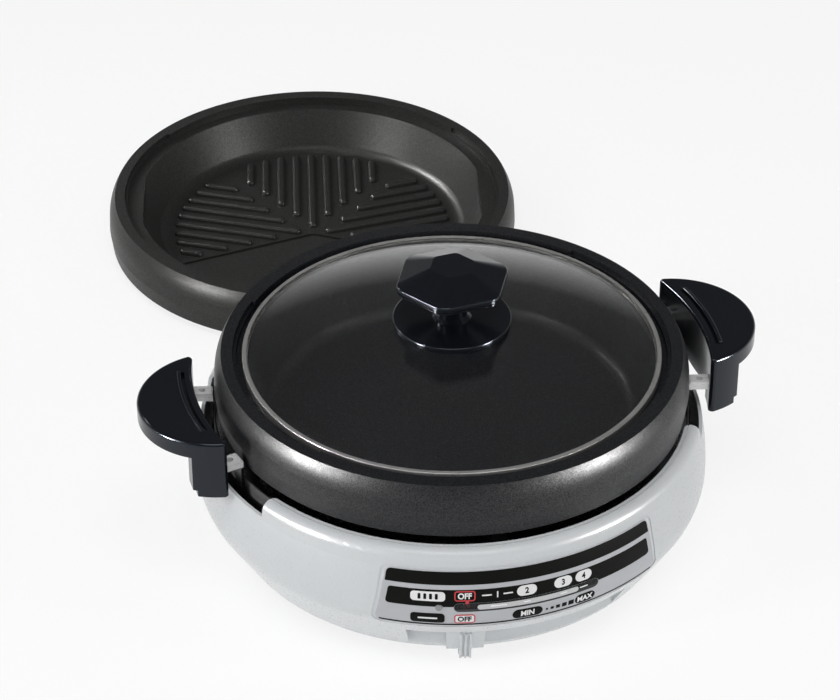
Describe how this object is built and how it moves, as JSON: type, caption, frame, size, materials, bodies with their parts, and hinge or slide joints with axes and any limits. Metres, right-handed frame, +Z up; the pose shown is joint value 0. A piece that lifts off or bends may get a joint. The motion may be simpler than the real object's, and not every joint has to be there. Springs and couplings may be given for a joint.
{
  "type": "electric skillet",
  "caption": "Round electric skillet with a heated base, side handles, sliding heat lever, deep pan under a domed glass lid, and a separate ridged grill plate.",
  "frame": {"origin": "the point on the table under the middle of the heated base, on the base's upright axis", "axes": "+Z up, the control panel faces -Y, the handles point along +X and -X, the grill plate lies behind along +Y"},
  "size_m": [0.464, 0.7696, 0.2231],
  "materials": {
    "guard": "glossy pale grey moulding",
    "panel": "satin silver film",
    "window": "clear moulded strip",
    "lamp": "translucent grey lens",
    "zinc": "zinc-plated sheet",
    "screw": "plated fastener",
    "steel": "bright stainless strip",
    "case": "black heat-proof paint",
    "reflector": "bright rolled sheet",
    "sheath": "oxidised sheath",
    "ceramic": "white ceramic, matt",
    "black_plastic": "black moulding",
    "brass": "plated pin",
    "lead": "sleeved wire",
    "bakelite": "glossy black phenolic moulding",
    "rubber": "black rubber",
    "lever": "pale grey moulding",
    "pointer": "red moulding",
    "sensor": "turned cap",
    "nonstick": "dark non-stick coating with fine metal flake",
    "glass": "clear tempered glass",
    "silicone": "silicone washer"
  },
  "bodies": {
    "base": {"body_guard": "guard", "control_panel": "panel", "indicator_window": "window", "pilot_lamp": "lamp", "bottom_plate": "zinc", "case_posts": "zinc", "bottom_screws": "screw", "inner_case": "case", "reflector": "reflector", "heater": "sheath", "heater_insulators": "ceramic", "sensor_sleeve": "steel", "sensor_spring": "screw", "thermostat": "ceramic", "power_inlet": "black_plastic", "inlet_pins": "brass", "handle_screws": "screw", "lead_live": "lead", "lead_neutral": "lead", "lead_switched": "lead", "handle_left": "bakelite", "handle_right": "bakelite", "strap_left_a": "steel", "strap_left_b": "steel", "strap_right_a": "steel", "strap_right_b": "steel", "heater_bracket_1": "case", "heater_bracket_2": "case", "heater_bracket_3": "case", "foot_1": "rubber", "foot_2": "rubber", "foot_3": "rubber", "foot_4": "rubber"},
    "lever": {"lever_shaft": "screw", "shaft_clip": "screw", "lever_arm": "zinc", "lever_tab": "lever", "pointer_arm": "zinc", "pointer": "pointer"},
    "sensor": {"sensor_button": "sensor"},
    "pan": {"deep_pan": "nonstick"},
    "lid": {"lid_glass": "glass", "lid_rim": "steel", "knob_base": "bakelite", "lid_knob": "bakelite", "knob_screw": "screw", "knob_washer": "silicone"},
    "grill": {"grill_pan": "nonstick"}
  },
  "joints": [
    {"name": "lever_turn", "type": "hinge", "parent": "base", "child": "lever", "pos_m": [0, 0, 0.04], "axis": [0, 0, 1], "range_deg": [0, 26.8]},
    {"name": "sensor_press", "type": "slide", "parent": "base", "child": "sensor", "axis": [0, 0, 1], "range_m": [-0.003, 0], "stiffness_N_per_m": 300, "springref_m": 0.005},
    {"name": "pan_lift", "type": "slide", "parent": "base", "child": "pan", "axis": [0, 0, 1], "range_m": [0, 0.12]},
    {"name": "lid_lift", "type": "slide", "parent": "pan", "child": "lid", "axis": [0, 0, 1], "range_m": [0, 0.1]},
    {"name": "grill_lift", "type": "slide", "parent": "base", "child": "grill", "axis": [0, 0, 1], "range_m": [0, 0.1]}
  ]
}
